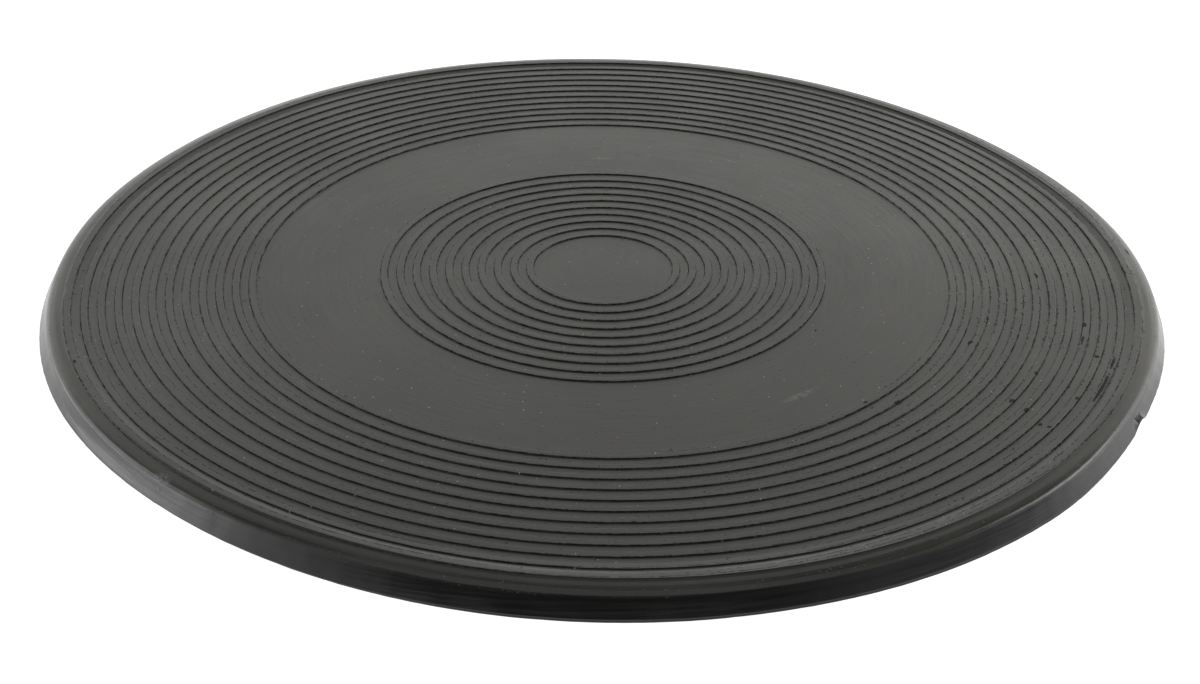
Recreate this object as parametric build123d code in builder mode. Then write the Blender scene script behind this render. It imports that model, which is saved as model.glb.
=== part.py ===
from build123d import *
import os

# Practice pad for a 14 inch drum, in millimetres.
# Origin at the middle of the underside, +Z up out of the playing face.

# Overall
bottom_radius = 171.3      # widest point, at the foot of the flared skirt
face_height = 7.5          # flat playing face above the surface the pad rests on

# Rings of ribs on the playing face
rib_width = 2.2
rib_height = 0.35
rib_pitch = 5.0
inner_first_rib = 22.7     # centre radius of the first rib of the inner band
inner_rib_count = 10
outer_first_rib = 107.6    # centre radius of the first rib of the outer band
outer_rib_count = 12

# Border outside the ribs: a slight rise, then a fall to the corner
border_start_radius = 158.9
border_crest_radius = 161.6
border_crest_rise = 0.3
border_mid_radius = 165.05
border_mid_rise = 0.02
corner_radius_position = 168.5
corner_drop = 0.55
corner_fillet = 2.0

# Foot of the skirt
foot_height = 0.9          # where the flared wall ends and the edge turns under
foot_clearance = 0.3       # the skirt stops this far above the resting plane
foot_flat_radius = 170.5

# Layers under the rubber face, from the resting plane up
base_thickness = 1.2
core_thickness = 2.4
damping_thickness = 1.2
core_radius = 164.8
lip_radius = 161.5         # opening in the lip that turns in under the board
base_radius = 161.2
sheet_edge_break = 0.3

core_bottom = base_thickness
damping_bottom = core_bottom + core_thickness
cavity_top = damping_bottom + damping_thickness
crest_height = face_height + border_crest_rise
border_mid_height = face_height + border_mid_rise
corner_height = face_height - corner_drop


def rib_radii(first, count):
    """Centre radii of one band of evenly spaced ribs."""
    return [first + rib_pitch * step for step in range(count)]


def disc_section(radius, bottom, thickness):
    """Half section of a plain disc, as a sketch beside the Z axis."""
    with BuildSketch(Plane.XZ) as section:
        with Locations((0, bottom)):
            Rectangle(radius, thickness, align=(Align.MIN, Align.MIN))
    return section.sketch


# Rubber cap: playing face, ribs, border, flared skirt and the lip under the board
face_ribs = rib_radii(inner_first_rib, inner_rib_count) + rib_radii(outer_first_rib, outer_rib_count)
border_rib = face_ribs.pop()

with BuildPart() as playing_surface:
    with BuildSketch(Plane.XZ) as cap_section:
        with BuildLine():
            Line((0, cavity_top), (0, face_height))
            Line((0, face_height), (border_start_radius, face_height))
            rise = Spline(
                (border_start_radius, face_height),
                (border_crest_radius, crest_height),
                tangents=[(1, 0), (1, 0)],
            )
            fall = ThreePointArc(
                rise @ 1,
                (border_mid_radius, border_mid_height),
                (corner_radius_position, corner_height),
            )
            Line(fall @ 1, (bottom_radius, foot_height))
            Line((bottom_radius, foot_height), (foot_flat_radius, foot_clearance))
            Line((foot_flat_radius, foot_clearance), (lip_radius, foot_clearance))
            Line((lip_radius, foot_clearance), (lip_radius, core_bottom))
            Line((lip_radius, core_bottom), (core_radius, core_bottom))
            Line((core_radius, core_bottom), (core_radius, cavity_top))
            Line((core_radius, cavity_top), (0, cavity_top))
        make_face()
        corner = cap_section.vertices().sort_by_distance((corner_radius_position, 0, corner_height))[0]
        fillet(corner, radius=corner_fillet)
        with Locations(*[(radius, face_height) for radius in face_ribs]):
            Rectangle(rib_width, rib_height, align=(Align.CENTER, Align.MIN))
        with Locations((border_rib, face_height)):
            Rectangle(rib_width, border_crest_rise + rib_height, align=(Align.CENTER, Align.MIN))
    revolve(axis=Axis.Z)

# Foam disc between the rubber face and the board
with BuildPart() as damping_layer:
    add(disc_section(core_radius, damping_bottom, damping_thickness))
    revolve(axis=Axis.Z)

# Hardboard disc, gripped at its edge by the skirt
with BuildPart() as core_board:
    add(disc_section(core_radius, core_bottom, core_thickness))
    revolve(axis=Axis.Z)

# Non-slip rubber sheet inside the lip; its underside is the resting face
with BuildPart() as base_sheet:
    add(disc_section(base_radius, 0, base_thickness))
    revolve(axis=Axis.Z)
    chamfer(base_sheet.edges().group_by(Axis.Z)[0], length=sheet_edge_break)

playing_surface.part.label = "playing_surface"
damping_layer.part.label = "damping_layer"
core_board.part.label = "core_board"
base_sheet.part.label = "base_sheet"

os.makedirs("parts", exist_ok=True)
for piece in (playing_surface, damping_layer, core_board, base_sheet):
    export_step(piece.part, f"parts/{piece.part.label}.step")
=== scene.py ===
import math
from collections import namedtuple

import bmesh
import bpy
from mathutils import Matrix, Vector, noise


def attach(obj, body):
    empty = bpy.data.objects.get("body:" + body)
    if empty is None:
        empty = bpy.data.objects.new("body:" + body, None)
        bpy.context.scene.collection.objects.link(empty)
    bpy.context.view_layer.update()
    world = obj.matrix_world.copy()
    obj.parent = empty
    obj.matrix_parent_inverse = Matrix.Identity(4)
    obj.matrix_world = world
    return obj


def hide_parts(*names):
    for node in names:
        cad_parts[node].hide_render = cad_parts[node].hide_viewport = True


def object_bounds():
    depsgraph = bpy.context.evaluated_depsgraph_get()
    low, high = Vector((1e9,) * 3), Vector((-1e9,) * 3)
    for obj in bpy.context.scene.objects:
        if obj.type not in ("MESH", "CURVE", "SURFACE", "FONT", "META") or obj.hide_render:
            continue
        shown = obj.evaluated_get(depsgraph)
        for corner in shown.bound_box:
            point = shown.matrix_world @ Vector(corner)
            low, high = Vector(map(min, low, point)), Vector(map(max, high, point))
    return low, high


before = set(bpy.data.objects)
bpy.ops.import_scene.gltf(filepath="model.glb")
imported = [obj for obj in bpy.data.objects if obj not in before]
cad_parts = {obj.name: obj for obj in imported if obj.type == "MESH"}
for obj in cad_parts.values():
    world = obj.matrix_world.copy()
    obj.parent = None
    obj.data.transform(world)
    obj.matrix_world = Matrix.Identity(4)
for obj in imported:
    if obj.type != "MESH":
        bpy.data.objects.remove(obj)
cad_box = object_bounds()

MM = 0.001
REST_Z = cad_box[0].z

# The cap's section in millimetres, with the CAD cap's sizes
FACE = 7.5
INNER_FIRST_RIB = 22.7
INNER_RIB_COUNT = 10
OUTER_FIRST_RIB = 107.6
OUTER_RIB_COUNT = 12
RIB_PITCH = 5.0
RIB_WIDTH = 2.2
RIB_HEIGHT = 0.35
BORDER_START = 158.9
CREST_RADIUS = 161.6
CREST_RISE = 0.3
CORNER_RADIUS = 168.5
CORNER_DROP = 0.55
CORNER_ROUND = 2.0
FOOT_RADIUS = 171.3
FOOT_HEIGHT = 0.9
FOOT_CLEARANCE = 0.3
LIP_RADIUS = 161.5
CORE_RADIUS = 164.8
BASE_THICKNESS = 1.2
CORE_THICKNESS = 2.4
DAMPING_THICKNESS = 1.2
DAMPING_BOTTOM = BASE_THICKNESS + CORE_THICKNESS
CAVITY_TOP = DAMPING_BOTTOM + DAMPING_THICKNESS

# What the visual cap adds to that section
RIB_WEAR = 0.05          # worn off the edges of the ribs
FALL_POWER = 1.6         # how the border's fall steepens towards the corner
FOOT_ROUND = 0.4         # radius of the skirt's lower edge

# Radii at which the plain stretches are cut into rings, so that they can bend
MIDDLE_CUTS = (0.0, 6.0, 13.0, 18.5)
BAND_CUTS = (74.0, 82.0, 90.0, 98.0, 104.0)
RISE_CUTS = (159.3, 159.8, 160.4, 161.0)
FALL_CUTS = (164.2, 164.9, 165.6, 166.2, 166.8)
WALL_CUTS = (0.3, 0.5, 0.7, 0.85)        # shares of the way from the corner to the foot
UNDERSIDE_CUTS = (168.0, 164.0)
LAYER_CUTS = (120.0, 60.0)

# How finely the rings are cut
INNER_SEGMENTS = 240
OUTER_SEGMENTS = 480
SPLIT_RADIUS = 95.0
CORNER_STEPS = 8
FOOT_STEPS = 6

# How the soft disc lies: each is a swelling by its bearing and reach in degrees, and its size in mm
WARPS = ((0, 38, 0.7), (292, 42, -0.7), (238, 30, 0.35), (188, 36, -0.5), (120, 30, 0.35), (152, 24, -0.3))
CURLS = ((268, 62, 0.75), (300, 50, 0.35))
FOOT_LIFTS = ((222, 42, 0.9), (338, 26, 1.0), (332.6, 2.0, 2.2))
BULGES = ((131, 50, 0.8), (308, 26, 1.0), (232, 40, -0.6), (38, 44, -1.8), (334, 20, -0.6), (282, 30, 0.8))
# The radii over which each of them grows from nothing to its full size
WARP_RADII = (40, 165)
CURL_RADII = (155, 168)
BULGE_RADII = (150, 168)
# How far in mm the rings wander from true circles: over long stretches, and over short ones
SLOW_WANDER = 0.18
QUICK_WANDER = 0.10


# ---------------------------------------------------------------- camera

def add_camera():
    """The camera of the product shot: low in front, a long lens, hardly any roll."""
    height_above_face = 0.3247
    distance_in_front = 0.6104
    sideways = -0.0006
    pitch = math.radians(29.92)
    roll = math.radians(0.90)
    focal_length_mm = 66.83
    sensor_width_mm = 36.0
    nearest_seen = 0.01
    data = bpy.data.cameras.new("shot")
    data.lens = focal_length_mm
    data.sensor_width = sensor_width_mm
    data.clip_start = nearest_seen
    camera = bpy.data.objects.new("shot", data)
    place = Matrix.Translation((sideways, -distance_in_front, FACE * MM + height_above_face))
    tilt = Matrix.Rotation(math.pi / 2 - pitch, 4, "X")
    camera.matrix_world = place @ tilt @ Matrix.Rotation(roll, 4, "Z")
    bpy.context.scene.collection.objects.link(camera)
    bpy.context.scene.camera = camera


# ---------------------------------------------------------------- node helpers

class Nodes:
    """A short way to write a node tree: nearly every call makes one node and returns its output."""

    def __init__(self, tree):
        self.tree = tree

    def new(self, kind, settings=(), inputs=()):
        node = self.tree.nodes.new(kind)
        for name, value in dict(settings).items():
            setattr(node, name, value)
        for name, value in dict(inputs).items():
            self.feed(node.inputs[name], value)
        return node

    def feed(self, socket, value):
        if isinstance(value, bpy.types.NodeSocket):
            self.tree.links.new(value, socket)
        else:
            socket.default_value = value

    def math(self, operation, a, b=0.0, c=0.0):
        node = self.new("ShaderNodeMath", {"operation": operation})
        for socket, value in zip(node.inputs, (a, b, c)):
            self.feed(socket, value)
        return node.outputs[0]

    def times(self, a, b):
        return self.math("MULTIPLY", a, b)

    def plus(self, a, b):
        return self.math("ADD", a, b)

    def scaled(self, value, factor, offset):
        """value * factor + offset."""
        return self.math("MULTIPLY_ADD", value, factor, offset)

    def remap(self, value, low, high, to_low=0.0, to_high=1.0, smooth=True):
        kind = "SMOOTHSTEP" if smooth else "LINEAR"
        node = self.new("ShaderNodeMapRange", {"interpolation_type": kind, "clamp": True})
        names = ("Value", "From Min", "From Max", "To Min", "To Max")
        for name, number in zip(names, (value, low, high, to_low, to_high)):
            self.feed(node.inputs[name], number)
        return node.outputs["Result"]

    def fade(self, value, low, high):
        """1 below low, falling smoothly to 0 at high."""
        return self.remap(value, low, high, 1.0, 0.0)

    def noise(self, vector, scale, detail=2.0, roughness=0.5, distortion=0.0):
        node = self.new("ShaderNodeTexNoise", {"noise_dimensions": "3D"}, {
            "Vector": vector,
            "Scale": scale,
            "Detail": detail,
            "Roughness": roughness,
            "Distortion": distortion,
        })
        return node.outputs["Fac"]

    def mix_colour(self, share, first, second, blend="MIX"):
        node = self.new("ShaderNodeMix", {"data_type": "RGBA", "blend_type": blend, "clamp_factor": False})
        self.feed(node.inputs["Factor"], share)
        self.feed(node.inputs[6], first)
        self.feed(node.inputs[7], second)
        return node.outputs[2]

    def combine(self, x, y, z):
        node = self.new("ShaderNodeCombineXYZ")
        for socket, value in zip(node.inputs, (x, y, z)):
            self.feed(socket, value)
        return node.outputs[0]

    def bump(self, height, strength, depth):
        """A normal bent by a height field; depth is how far a height of 1 stands out, in metres."""
        node = self.new("ShaderNodeBump", (), {"Height": height, "Strength": strength, "Distance": depth})
        return node.outputs[0]


def grey(value, warmth=0.0):
    """A near-neutral colour; warmth above 0 takes a little blue out."""
    return (value, value * (1 - 0.1 * warmth), value * (1 - warmth), 1.0)


def new_material(name):
    material = bpy.data.materials.new(name)
    material.use_nodes = True
    tree = material.node_tree
    tree.nodes.clear()
    output = tree.nodes.new("ShaderNodeOutputMaterial")
    shader = tree.nodes.new("ShaderNodeBsdfPrincipled")
    tree.links.new(shader.outputs[0], output.inputs["Surface"])
    return material, Nodes(tree), shader


# ---------------------------------------------------------------- surroundings

# The tent's wall by bearing: 0 is behind the pad, -90 its left, 180 the camera's side. Each row gives
# the brightness of the strip along the table, of the wall above the strip, and the warmth of both.
BELT = (
    (-180, 0.02, 0.05, 0.0), (-148, 0.03, 0.08, 0.0), (-118, 1.1, 0.9, -0.03), (-90, 5.0, 1.6, -0.03),
    (-62, 3.8, 1.8, -0.02), (-40, 1.75, 1.75, 0.03), (0, 1.5, 1.5, 0.02), (18, 2.1, 2.2, 0.03),
    (42, 1.9, 1.9, 0.03), (62, 2.8, 1.9, -0.02), (78, 2.6, 1.6, -0.03), (92, 0.25, 1.1, -0.03),
    (122, 0.2, 0.6, -0.02), (152, 0.03, 0.08, 0.0), (180, 0.02, 0.05, 0.0),
)
# Where one part of the tent gives way to the next, by height: 0 is level with the table, 1 overhead
STRIP_TOP = (0.06, 0.20)
WARM_FROM = (0.36, 0.48)
ROOF_BEHIND_FROM = (0.44, 0.65)
ROOF_IN_FRONT_FROM = (0.40, 0.54)
OVERHEAD_FROM = (0.84, 0.95)
FRONT_TO_BACK = (-0.3, 0.2)              # along Y, from the camera's half to the half behind the pad
WARM_TINT = grey(1.0, 0.07)
ROOF_BEHIND = grey(0.28, 0.12)
ROOF_IN_FRONT = grey(0.75, 0.06)
OVERHEAD = grey(0.72, 0.05)
# Soft panels hung above it: bearing, elevation and half width in degrees, and brightness
PANELS = ((68, 34, 18, 3.6), (-74, 30, 16, 1.8))
PANEL_TINT = grey(1.0, -0.03)
PANEL_CORE = 0.3                         # the share of a panel's half width that is evenly bright

FLOOR_HALF_WIDTH = 6.0
FLOOR_GLOW = 0.97


def belt_strip(n, around, column):
    """One of the belt's two rows of light, as a colour ramp that runs once around."""
    strip = n.new("ShaderNodeValToRGB", (), {"Fac": around})
    ramp = strip.color_ramp
    ramp.interpolation = "EASE"
    while len(ramp.elements) < len(BELT):
        ramp.elements.new(0.5)
    for element, row in zip(ramp.elements, BELT):
        element.position = row[0] / 360 + 0.5
        element.color = grey(row[column], row[3])
    return strip.outputs["Color"]


def add_panel(n, light, view, bearing, elevation, half_width, strength):
    """The light with one soft round panel added to it."""
    turn = math.radians(bearing)
    tilt = math.radians(elevation)
    centre = (math.sin(turn) * math.cos(tilt), math.cos(turn) * math.cos(tilt), math.sin(tilt))
    facing = n.new("ShaderNodeVectorMath", {"operation": "DOT_PRODUCT"}, {0: view, 1: centre})
    edge = math.cos(math.radians(half_width))
    core = math.cos(math.radians(half_width * PANEL_CORE))
    patch = n.remap(facing.outputs["Value"], edge, core, 0.0, strength)
    return n.mix_colour(1.0, light, n.mix_colour(patch, grey(0.0), PANEL_TINT), "ADD")


def add_world():
    """A white studio tent, open and dim on the camera's side."""
    world = bpy.data.worlds.new("studio")
    bpy.context.scene.world = world
    world.use_nodes = True
    world.node_tree.nodes.clear()
    n = Nodes(world.node_tree)
    view = n.new("ShaderNodeTexCoord").outputs["Generated"]
    x, y, height = n.new("ShaderNodeSeparateXYZ", (), {"Vector": view}).outputs
    around = n.remap(n.math("ARCTAN2", x, y), -math.pi, math.pi, smooth=False)
    strip, wall = belt_strip(n, around, 1), belt_strip(n, around, 2)
    light = n.mix_colour(n.remap(height, *STRIP_TOP), strip, wall)
    light = n.mix_colour(n.remap(height, *WARM_FROM), light, WARM_TINT, "MULTIPLY")
    behind = n.mix_colour(n.remap(height, *ROOF_BEHIND_FROM), light, ROOF_BEHIND)
    in_front = n.mix_colour(n.remap(height, *ROOF_IN_FRONT_FROM), light, ROOF_IN_FRONT)
    light = n.mix_colour(n.remap(y, *FRONT_TO_BACK), in_front, behind)
    light = n.mix_colour(n.remap(height, *OVERHEAD_FROM), light, OVERHEAD)
    for panel in PANELS:
        light = add_panel(n, light, view, *panel)
    background = n.new("ShaderNodeBackground", (), {"Color": light, "Strength": 1.0})
    output = n.new("ShaderNodeOutputWorld")
    n.feed(output.inputs["Surface"], background.outputs[0])


def add_floor():
    """A lit white table."""
    mesh = bpy.data.meshes.new("floor")
    half = FLOOR_HALF_WIDTH
    corners = [(-half, -half, REST_Z), (half, -half, REST_Z), (half, half, REST_Z), (-half, half, REST_Z)]
    mesh.from_pydata(corners, [], [(0, 1, 2, 3)])
    floor = bpy.data.objects.new("floor", mesh)
    bpy.context.scene.collection.objects.link(floor)
    material, n, shader = new_material("table")
    shader.inputs["Base Color"].default_value = grey(0.30)
    shader.inputs["Roughness"].default_value = 0.7
    shader.inputs["Specular IOR Level"].default_value = 0.1
    shader.inputs["Emission Color"].default_value = grey(1.0)
    shader.inputs["Emission Strength"].default_value = FLOOR_GLOW
    mesh.materials.append(material)


# ---------------------------------------------------------------- rubber

# Voids, nicks and tears in the moulding: radius in mm, bearing in degrees, half length along the ring
# and half width across it in mm
VOIDS = (
    (116.4, 337.9, 1.3, 0.7), (133.9, 359.1, 1.4, 0.6), (138.1, 326.5, 1.2, 0.8), (147.0, 347.0, 1.5, 0.6),
    (152.5, 340.3, 0.8, 0.8), (153.1, 330.9, 0.8, 0.6), (152.5, 324.0, 0.7, 0.6), (143.4, 325.7, 1.3, 0.6),
    (138.5, 333.9, 0.8, 0.6), (157.6, 334.2, 9.0, 0.55), (157.4, 339.5, 4.0, 0.4), (147.2, 343.5, 2.5, 0.4),
    (113.5, 316.8, 1.4, 0.6), (107.5, 313.5, 0.9, 0.5), (149.8, 324.0, 0.8, 0.6), (126.8, 313.3, 1.0, 0.4),
    (163.1, 202.6, 1.0, 0.5), (166.2, 5.2, 2.2, 0.25), (73.3, 329.2, 0.9, 0.25),
)
# The torn patch at the notch in the skirt's lower edge, as the same four numbers
CHIPS = ((170.4, 332.6, 2.2, 3.0),)
# Scuffs and dull smears: the same four numbers, in larger sizes
SCUFFS = (
    (93.0, 307.0, 9.0, 1.6), (95.1, 24.5, 3.0, 0.7), (101.4, 217.3, 1.6, 0.7), (93.1, 227.6, 2.2, 0.8),
    (118.6, 323.0, 0.3, 1.6), (90.0, 62.0, 6.0, 0.6), (79.6, 90.4, 5.0, 1.4), (167.6, 226.5, 4.0, 2.6),
    (73.1, 328.4, 1.6, 0.35),
)
# The ribbed bands' inner and outer radii, and how far their edges are blurred on either side
INNER_BAND = (20.0, 70.0)
OUTER_BAND = (105.0, 164.5)
BAND_BLUR = 0.5
RIB_PHASE = 2.65         # both bands' ribs stand about this far past a whole number of pitches

RUBBER_DARK = grey(0.007, 0.08)
RUBBER_LIGHT = grey(0.011, 0.07)
RING_SHEEN = grey(0.022, 0.06)           # the paler turning marks
SCUFF_PALE = grey(0.10, 0.06)
# Painted shade: the skirt is the same rubber as the face, painted darker so that its wall reads dark
SKIRT_SHADE = grey(0.0025)
SKIRT_SCUFFED = grey(0.02)
# Painted shade: the near black that pits, voids and the rib crevices are painted with
HOLE_SHADE = grey(0.0015)
TORN_RUBBER = (0.010, 0.006, 0.004, 1.0)
DUST = grey(0.45, 0.08)

Spot = namedtuple("Spot", "place x y z radius cosine sine")


def shaded_spot(n):
    """The shaded point: its place in metres, its radius in mm, and the direction it lies in."""
    nearly_zero = 0.0001
    place = n.new("ShaderNodeTexCoord").outputs["Object"]
    x, y, z = n.new("ShaderNodeSeparateXYZ", (), {"Vector": place}).outputs
    reach = n.math("SQRT", n.plus(n.math("POWER", x, 2.0), n.math("POWER", y, 2.0)))
    reach = n.math("MAXIMUM", reach, nearly_zero)
    cosine = n.math("DIVIDE", x, reach)
    sine = n.math("DIVIDE", y, reach)
    return Spot(place, x, y, z, n.times(reach, 1 / MM), cosine, sine)


def ring_noise(n, spot, across, along, seed, detail=2.0):
    """Noise drawn out along the rings: across is its frequency over the radius per mm, along is per turn."""
    outward = n.scaled(spot.radius, across, seed)
    vector = n.combine(outward, n.times(spot.cosine, along), n.times(spot.sine, along))
    return n.noise(vector, 1.0, detail, roughness=0.55)


def in_band(n, spot, band):
    """1 between the band's two radii, 0 outside them."""
    past_start = n.remap(spot.radius, band[0] - BAND_BLUR, band[0] + BAND_BLUR)
    before_end = n.fade(spot.radius, band[1] - BAND_BLUR, band[1] + BAND_BLUR)
    return n.times(past_start, before_end)


def marks(n, spot, ragged, places):
    """1 inside any of the listed marks: ovals bent along their ring, with outlines that a noise breaks up."""
    full_inside, none_outside = 0.7, 1.05
    total = 0.0
    for radius, bearing, half_length, half_width in places:
        turn = math.radians(bearing)
        cosine, sine = math.cos(turn), math.sin(turn)
        outward = n.plus(n.times(spot.x, cosine), n.times(spot.y, sine))
        sideways = n.math("SUBTRACT", n.times(spot.y, cosine), n.times(spot.x, sine))
        outward = n.scaled(outward, 1 / MM / half_width, -radius / half_width)
        sideways = n.times(sideways, 1 / MM / half_length)
        bow = half_length * half_length / (2 * radius * half_width)
        outward = n.plus(outward, n.times(n.math("POWER", sideways, 2.0), bow))
        away = n.plus(n.math("POWER", outward, 2.0), n.math("POWER", sideways, 2.0))
        inside = n.fade(n.plus(away, ragged), full_inside, none_outside)
        total = n.math("MAXIMUM", total, inside)
    return total


def rib_crevice_shade(n, spot, ragged, from_edge, bands):
    """1 on the painted shade line that comes and goes along the edges of the ribs: the shade in the crevices
    at their feet.
    """
    # Half its width in mm: none where the ragged noise is below a quarter, and less towards the back
    half_width = n.scaled(ragged, 0.50, -0.125)
    half_width = n.plus(half_width, n.remap(spot.y, 0.06, 0.15, 0.0, -0.045))
    near_edge = n.fade(n.math("SUBTRACT", from_edge, half_width), -0.03, 0.04)
    long_noise = ring_noise(n, spot, across=0.45, along=22.0, seed=9.0, detail=3.0)
    long_runs = n.remap(long_noise, 0.36, 0.56, 0.35, 1.0)
    short_runs = n.remap(n.noise(spot.place, scale=620.0, detail=1.0), 0.40, 0.50)
    return n.times(n.times(near_edge, n.times(long_runs, short_runs)), bands)


def face_pits(n, spot, from_edge, outer_band, bands, on_face):
    """1 in the small pits of the face. They are thickest beside the ribs at the front right."""
    worst_x, worst_y = 0.87, -0.5
    turned = n.plus(n.times(spot.cosine, worst_x), n.times(spot.sine, worst_y))
    damage = n.times(n.remap(turned, 0.55, 0.98), outer_band)
    clusters = n.times(damage, n.remap(n.noise(spot.place, scale=70.0), 0.42, 0.62))
    beside_rib = n.fade(from_edge, 0.2, 0.9)
    # The noise has to be above this for a pit; it is lower, so that pits are more, where damage is thick
    threshold = n.scaled(n.times(clusters, beside_rib), -0.12, 0.70)
    pit_noise = n.noise(spot.place, scale=1300.0, detail=1.0)
    pits = n.remap(n.math("SUBTRACT", pit_noise, threshold), 0.0, 0.04)
    return n.times(n.times(pits, on_face), n.scaled(bands, 0.6, 0.4))


def torn_chip(n, spot, ragged):
    """1 on the torn patch, up to a ragged height on the wall."""
    chip = marks(n, spot, n.scaled(ragged, 2.4, -1.2), CHIPS)
    ragged_height = n.scaled(ragged, 3.0 * MM, spot.z)
    return n.times(chip, n.fade(ragged_height, 5.4 * MM, 6.2 * MM))


def dust_specks(n, spot, on_face):
    """How strongly dust shows (0 or near 0 off the specks), and a random value for each speck."""
    cells = n.new(
        "ShaderNodeTexVoronoi",
        {"feature": "F1", "voronoi_dimensions": "2D"},
        {"Vector": spot.place, "Scale": 190.0},
    )
    chosen = n.new("ShaderNodeSeparateColor", (), {"Color": cells.outputs["Color"]}).outputs
    speck = n.times(n.fade(cells.outputs["Distance"], 0.02, 0.042), on_face)
    dust = n.times(speck, n.math("GREATER_THAN", chosen[0], 0.80))
    dust = n.times(dust, n.fade(spot.radius, OUTER_BAND[1] - BAND_BLUR, OUTER_BAND[1] + BAND_BLUR))
    return dust, chosen[1]


def cap_rubber():
    """Old moulded rubber: turning marks from the mould, pits, tears, scuffs and dust, with painted shade
    along the rib edges, in the holes and on the skirt.
    """
    material, n, shader = new_material("moulded_rubber")
    spot = shaded_spot(n)
    on_face = n.remap(spot.z, (FACE - 1.6) * MM, (FACE - 0.6) * MM)
    fine_rings = ring_noise(n, spot, across=3.2, along=5.0, seed=0.0)
    broad_rings = ring_noise(n, spot, across=0.8, along=2.5, seed=30.0)
    clouds = n.noise(spot.place, scale=22.0, detail=3.0, roughness=0.6)
    grain = n.noise(spot.place, scale=2600.0, detail=2.0, roughness=0.6)
    ragged = n.noise(spot.place, scale=900.0, detail=3.0, roughness=0.65)

    # Damage, and the painted shade along the rib edges
    from_rib = n.math("PINGPONG", n.math("SUBTRACT", spot.radius, RIB_PHASE), RIB_PITCH / 2)
    from_edge = n.math("ABSOLUTE", n.math("SUBTRACT", from_rib, RIB_WIDTH / 2))
    inner_band = in_band(n, spot, INNER_BAND)
    outer_band = in_band(n, spot, OUTER_BAND)
    bands = n.plus(inner_band, outer_band)
    # Painted shade: dark lines along the rib edges, where shade falls in the crevices
    crevice_shade = n.times(rib_crevice_shade(n, spot, ragged, from_edge, bands), 0.9)
    pits = face_pits(n, spot, from_edge, outer_band, bands, on_face)
    voids = marks(n, spot, n.scaled(ragged, 2.4, -1.2), VOIDS)
    # Real pits and voids, together with the painted shade lines of the rib crevices
    holes_and_crevice_shade = n.math("MAXIMUM", n.math("MAXIMUM", crevice_shade, pits), voids)
    chip = torn_chip(n, spot, ragged)
    foot_strip = n.times(n.fade(spot.z, 0.7 * MM, 1.3 * MM), 0.85)      # the dull turned-under edge
    scuffs = marks(n, spot, n.scaled(ragged, 2.4, -1.0), SCUFFS)
    scuffs = n.times(scuffs, n.remap(ragged, 0.4, 0.65))
    dust, dust_shade = dust_specks(n, spot, on_face)

    # Colour
    tone = n.mix_colour(n.remap(clouds, 0.35, 0.7), RUBBER_DARK, RUBBER_LIGHT)
    tone = n.mix_colour(n.times(n.remap(fine_rings, 0.56, 0.74), 0.5), tone, RING_SHEEN)
    tone = n.mix_colour(n.times(scuffs, 0.7), tone, SCUFF_PALE)
    # Painted shade on the skirt: a darker copy of the rubber, with its own scuffs
    tone = n.mix_colour(on_face, n.mix_colour(scuffs, SKIRT_SHADE, SKIRT_SCUFFED), tone)
    # Painted shade: pits, voids and rib crevices painted near black for the shade inside them
    tone = n.mix_colour(holes_and_crevice_shade, tone, HOLE_SHADE)
    tone = n.mix_colour(chip, tone, TORN_RUBBER)
    tone = n.mix_colour(n.times(dust, n.scaled(dust_shade, 0.6, 0.2)), tone, DUST)
    n.feed(shader.inputs["Base Color"], tone)

    # Gloss: the corner and the skirt are smoother than the face; holes, scuffs and dust are dull
    holes_and_crevice_shade = n.math("MAXIMUM", holes_and_crevice_shade, n.math("MAXIMUM", chip, foot_strip))
    rough = n.remap(fine_rings, 0.3, 0.7, 0.37, 0.45)
    rough = n.plus(rough, n.remap(clouds, 0.3, 0.7, -0.03, 0.04))
    rough = n.math("SUBTRACT", rough, n.remap(spot.radius, 165.6, 167.6, 0.0, 0.19))
    rough = n.plus(rough, n.times(scuffs, 0.12))
    rough = n.plus(rough, n.times(holes_and_crevice_shade, 0.5))
    rough = n.plus(rough, n.times(dust, 0.3))
    n.feed(shader.inputs["Roughness"], rough)
    shader.inputs["Specular IOR Level"].default_value = 0.5

    # Relief, in millimetres
    height = n.times(fine_rings, 0.020)
    height = n.scaled(broad_rings, 0.030, height)
    height = n.scaled(grain, 0.012, height)
    height = n.scaled(holes_and_crevice_shade, -0.35, height)
    n.feed(shader.inputs["Normal"], n.bump(height, 1.0, MM))
    return material


# ---------------------------------------------------------------- the cap's shape

def rib_section(middle, foot, top):
    """Points over one rib from its inner foot to its outer foot: steep sides and slightly worn edges."""
    half = RIB_WIDTH / 2
    return [
        (middle - half - RIB_WEAR, foot),
        (middle - half, foot + RIB_WEAR),
        (middle - half, top - RIB_WEAR),
        (middle - half + RIB_WEAR, top),
        (middle + half - RIB_WEAR, top),
        (middle + half, top - RIB_WEAR),
        (middle + half, foot + RIB_WEAR),
        (middle + half + RIB_WEAR, foot),
    ]


def rib_middles(first, count):
    return [first + RIB_PITCH * step for step in range(count)]


def border_height(radius):
    """Height of the border's surface: a smooth rise to the crest, then a fall that steepens."""
    if radius <= CREST_RADIUS:
        return FACE + CREST_RISE * smooth_step(radius, BORDER_START, CREST_RADIUS)
    share = (radius - CREST_RADIUS) / (CORNER_RADIUS - CREST_RADIUS)
    return FACE + CREST_RISE - (CREST_RISE + CORNER_DROP) * share ** FALL_POWER


def smooth_step(value, low, high):
    """0 below low, 1 above high, and a smooth rise between them."""
    share = min(max((value - low) / (high - low), 0.0), 1.0)
    return share * share * (3 - 2 * share)


def part_way(start, end, share):
    """The point a share of the way from start to end."""
    return tuple(Vector(start).lerp(Vector(end), share))


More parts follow.
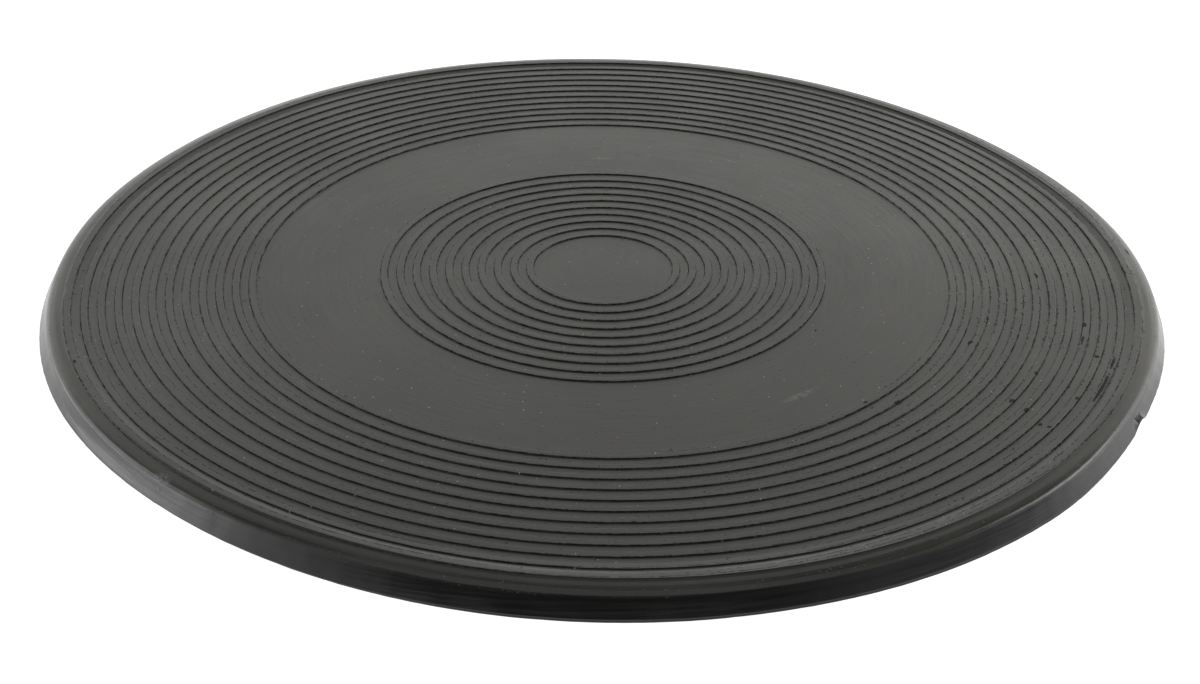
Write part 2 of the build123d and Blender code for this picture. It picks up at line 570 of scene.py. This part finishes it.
def rounded(before, corner, after, radius, steps):
    """Points of the arc that rounds a corner of the section, from the side of before to that of after."""
    corner = Vector(corner)
    to_before = (Vector(before) - corner).normalized()
    to_after = (Vector(after) - corner).normalized()
    half = to_before.angle(to_after) / 2
    centre = corner + (to_before + to_after).normalized() * (radius / math.sin(half))
    first = (corner + to_before * (radius / math.tan(half)) - centre).normalized()
    last = (corner + to_after * (radius / math.tan(half)) - centre).normalized()
    return [tuple(centre + first.slerp(last, step / steps) * radius) for step in range(steps + 1)]


def cap_section():
    """The cap's whole section from the middle of the face, over the rim and back under to the axis."""
    face_ribs = rib_middles(OUTER_FIRST_RIB, OUTER_RIB_COUNT)
    border_rib = face_ribs.pop()
    section = [(radius, FACE) for radius in MIDDLE_CUTS]
    for middle in rib_middles(INNER_FIRST_RIB, INNER_RIB_COUNT):
        section += rib_section(middle, FACE, FACE + RIB_HEIGHT)
    section += [(radius, FACE) for radius in BAND_CUTS]
    for middle in face_ribs:
        section += rib_section(middle, FACE, FACE + RIB_HEIGHT)
    section += [(radius, border_height(radius)) for radius in RISE_CUTS]
    crest = FACE + CREST_RISE
    section += rib_section(border_rib, crest, crest + RIB_HEIGHT)
    section += [(radius, border_height(radius)) for radius in FALL_CUTS]

    corner = (CORNER_RADIUS, FACE - CORNER_DROP)
    foot = (FOOT_RADIUS, FOOT_HEIGHT)
    end_of_fall = 166.0
    section += rounded((end_of_fall, border_height(end_of_fall)), corner, foot, CORNER_ROUND, CORNER_STEPS)
    section += [part_way(corner, foot, share) for share in WALL_CUTS]
    past_foot = (FOOT_HEIGHT - FOOT_CLEARANCE) / (FACE - CORNER_DROP - FOOT_HEIGHT)
    foot_tip = part_way(corner, foot, 1 + past_foot)
    section += rounded(corner, foot_tip, (LIP_RADIUS, FOOT_CLEARANCE), FOOT_ROUND, FOOT_STEPS)

    section += [(radius, FOOT_CLEARANCE) for radius in (*UNDERSIDE_CUTS, LIP_RADIUS)]
    section += [(LIP_RADIUS, BASE_THICKNESS), (CORE_RADIUS, BASE_THICKNESS)]
    section += [(radius, CAVITY_TOP) for radius in (CORE_RADIUS, *LAYER_CUTS, 0.0)]
    return section


def lathe(name, section, shape=None):
    """Turns a section about the Z axis into a closed mesh. Rings near the axis have fewer segments.
    shape, if given, moves each point: it takes and returns a point in millimetres."""
    bm = bmesh.new()
    rings = []
    for radius, height in section:
        if radius == 0:
            rings.append([bm.verts.new((0.0, 0.0, height * MM))])
            continue
        count = INNER_SEGMENTS if radius < SPLIT_RADIUS else OUTER_SEGMENTS
        ring = []
        for step in range(count):
            turn = 2 * math.pi * step / count
            point = Vector((radius * math.cos(turn), radius * math.sin(turn), height))
            if shape:
                point = shape(point, radius, turn)
            ring.append(bm.verts.new(point * MM))
        rings.append(ring)
    for inner, outer in zip(rings, rings[1:]):
        join_rings(bm, inner, outer)
    bmesh.ops.recalc_face_normals(bm, faces=bm.faces)
    mesh = bpy.data.meshes.new(name)
    bm.to_mesh(mesh)
    bm.free()
    mesh.shade_smooth()
    piece = bpy.data.objects.new(name, mesh)
    bpy.context.scene.collection.objects.link(piece)
    return piece


def join_rings(bm, first, second):
    """Faces between two rings: a fan, a plain strip, or a strip that doubles its segments."""
    if len(first) == 1 or len(second) == 1:
        hub, ring = (first[0], second) if len(first) == 1 else (second[0], first)
        for step, vertex in enumerate(ring):
            bm.faces.new((hub, vertex, ring[(step + 1) % len(ring)]))
        return
    few, many = (first, second) if len(first) <= len(second) else (second, first)
    ratio = len(many) // len(few)
    for step, vertex in enumerate(few):
        after = few[(step + 1) % len(few)]
        edge = [many[(step * ratio + part) % len(many)] for part in range(ratio + 1)]
        bm.faces.new([vertex, after] + edge[::-1])


def swelling(bearing, centre, reach):
    """1 at the bearing centre, falling smoothly to 0 at reach degrees on either side."""
    away = abs((bearing - centre + 180) % 360 - 180)
    return 0.5 + 0.5 * math.cos(math.pi * away / reach) if away < reach else 0.0


def settle(point, radius, turn):
    """How the soft moulding departs from a true figure of revolution: the thin disc is warped, its rim
    curls up at the front, the skirt is not quite round, and its foot is lifted in two places and
    notched in one. The cavity stays true, because the layers inside fill it."""
    if radius <= CORE_RADIUS and point.z <= CAVITY_TOP:
        return point

    def sum_of(swellings):
        return sum(size * swelling(math.degrees(turn), centre, reach) for centre, reach, size in swellings)

    cosine, sine = math.cos(turn), math.sin(turn)
    upper = smooth_step(point.z, FOOT_CLEARANCE, CAVITY_TOP)
    rise = sum_of(WARPS) * smooth_step(radius, *WARP_RADII) + sum_of(CURLS) * smooth_step(radius, *CURL_RADII)
    foot = sum_of(FOOT_LIFTS) * smooth_step(radius, LIP_RADIUS, FOOT_RADIUS)
    slow_place = (cosine * 3, sine * 3, radius * 0.03)
    slow = noise.noise(slow_place) * smooth_step(radius, 15, 60)
    quick_place = (point.x * 0.35, point.y * 0.35, 7.0)
    quick = noise.noise(quick_place) * smooth_step(radius, 15, 20)
    outward = sum_of(BULGES) * smooth_step(radius, *BULGE_RADII) + SLOW_WANDER * slow + QUICK_WANDER * quick
    return point + Vector((cosine * outward, sine * outward, rise * upper + foot * (1 - upper)))


def make_cap():
    cap = lathe("rubber_cap", cap_section(), settle)
    cap.data.materials.append(cap_rubber())
    flat_faces = cap.modifiers.new("flat_faces_stay_flat", "WEIGHTED_NORMAL")
    flat_faces.mode = "FACE_AREA"
    flat_faces.weight = 60
    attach(cap, "root")
    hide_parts("playing_surface")


# ---------------------------------------------------------------- layers inside and under

def foam_material():
    material, n, shader = new_material("closed_cell_foam")
    place = n.new("ShaderNodeTexCoord").outputs["Object"]
    cells = n.new("ShaderNodeTexVoronoi", {"feature": "F1"}, {"Vector": place, "Scale": 1400.0})
    depth = n.remap(cells.outputs["Distance"], 0.1, 0.7)
    # Painted shade: the cell hollows, where the bump is low, are painted darker
    n.feed(shader.inputs["Base Color"], n.mix_colour(depth, grey(0.05), grey(0.11)))
    n.feed(shader.inputs["Roughness"], n.remap(depth, 0.0, 1.0, 0.75, 0.92))
    n.feed(shader.inputs["Normal"], n.bump(depth, 0.6, 0.3 * MM))
    return material


def board_material():
    fibre_dark = (0.16, 0.085, 0.04, 1.0)
    fibre_light = (0.38, 0.23, 0.125, 1.0)
    stain = (0.22, 0.13, 0.07, 1.0)
    material, n, shader = new_material("hardboard")
    place = n.new("ShaderNodeTexCoord").outputs["Object"]
    fibres = n.noise(place, scale=420.0, detail=5.0, roughness=0.7, distortion=1.5)
    patches = n.noise(place, scale=30.0, detail=3.0)
    colour = n.mix_colour(fibres, fibre_dark, fibre_light)
    colour = n.mix_colour(n.times(patches, 0.4), colour, stain)
    n.feed(shader.inputs["Base Color"], colour)
    n.feed(shader.inputs["Roughness"], n.remap(fibres, 0.3, 0.7, 0.6, 0.8))
    n.feed(shader.inputs["Normal"], n.bump(fibres, 0.4, 0.2 * MM))
    return material


def base_material():
    material, n, shader = new_material("non_slip_rubber")
    place = n.new("ShaderNodeTexCoord").outputs["Object"]
    pebbles = n.new("ShaderNodeTexVoronoi", {"feature": "SMOOTH_F1"}, {"Vector": place, "Scale": 700.0})
    height = n.fade(pebbles.outputs["Distance"], 0.1, 0.8)
    clouds = n.noise(place, scale=18.0, detail=3.0)
    n.feed(shader.inputs["Base Color"], n.mix_colour(clouds, grey(0.012), grey(0.028, 0.05)))
    n.feed(shader.inputs["Roughness"], n.remap(height, 0.0, 1.0, 0.75, 0.5))
    n.feed(shader.inputs["Normal"], n.bump(height, 0.7, 0.3 * MM))
    return material


def make_foam():
    """The foam disc, a hair smaller than its cavity and with softened edges."""
    gap = 0.1
    edge = 0.25
    side = CORE_RADIUS - gap
    top, bottom = CAVITY_TOP, DAMPING_BOTTOM
    section = [(radius, top) for radius in (0.0, *reversed(LAYER_CUTS), side - edge)]
    section += [(side, top - edge), (side, bottom + edge)]
    section += [(radius, bottom) for radius in (side - edge, *LAYER_CUTS, 0.0)]
    foam = lathe("foam_disc", section)
    foam.data.materials.append(foam_material())
    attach(foam, "root")
    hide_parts("damping_layer")


def dress(node, material):
    """Gives a CAD node that keeps its shape its own material."""
    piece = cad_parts[node]
    if not piece.material_slots:
        piece.data.materials.append(material)
    for slot in piece.material_slots:
        slot.link = "OBJECT"
        slot.material = material


bpy.context.scene.view_settings.view_transform = "Standard"
add_camera()
add_world()
add_floor()
make_cap()
make_foam()
dress("core_board", board_material())
dress("base_sheet", base_material())
